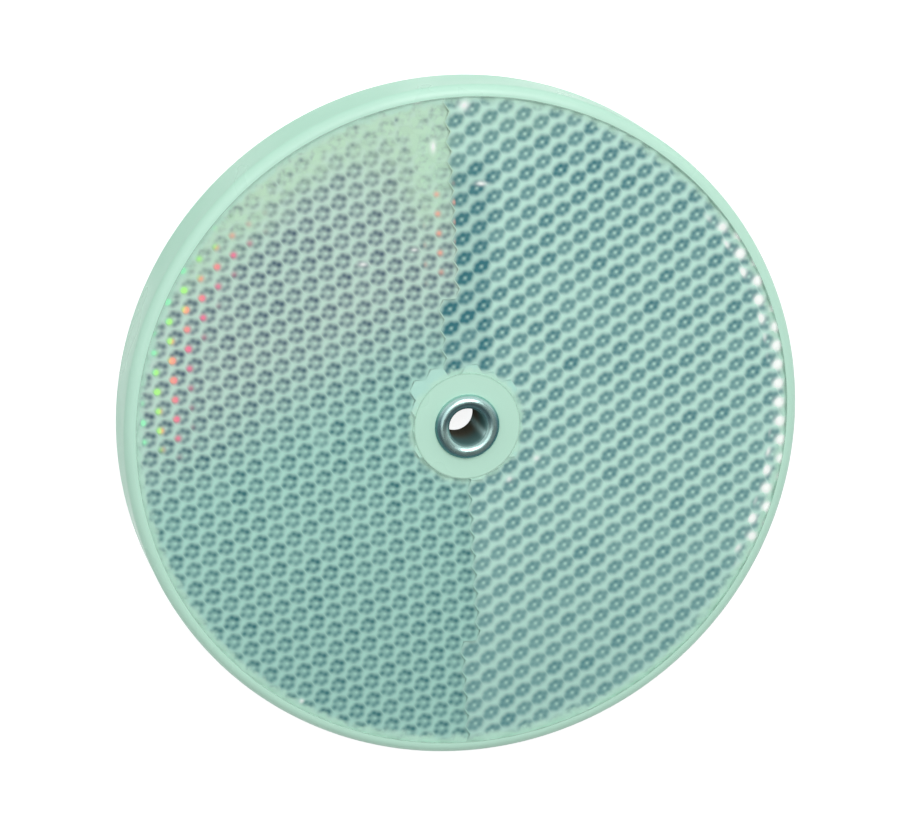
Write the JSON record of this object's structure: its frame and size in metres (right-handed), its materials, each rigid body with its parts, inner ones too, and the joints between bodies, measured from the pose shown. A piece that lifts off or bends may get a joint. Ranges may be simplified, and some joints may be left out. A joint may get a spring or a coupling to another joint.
{
  "type": "round cycle reflector",
  "caption": "Round clear prism reflector with a flat back and a rolled metal eyelet in its centre hole, for screwing to a mudguard, rack or post.",
  "frame": {"origin": "centre of the back face, on the axis of the disc", "axes": "+Z out of the front face along the disc's axis, +Y up as the picture shows it"},
  "size_m": [0.084, 0.084, 0.0089],
  "materials": {
    "clear_lens": "clear moulded plastic with a pale green cast, polished",
    "back_plate": "moulded, fine satin",
    "eyelet": "bright nickel plating, rolled edge"
  },
  "bodies": {
    "root": {"lens": "clear_lens", "back_plate": "back_plate", "eyelet": "eyelet"}
  },
  "joints": []
}
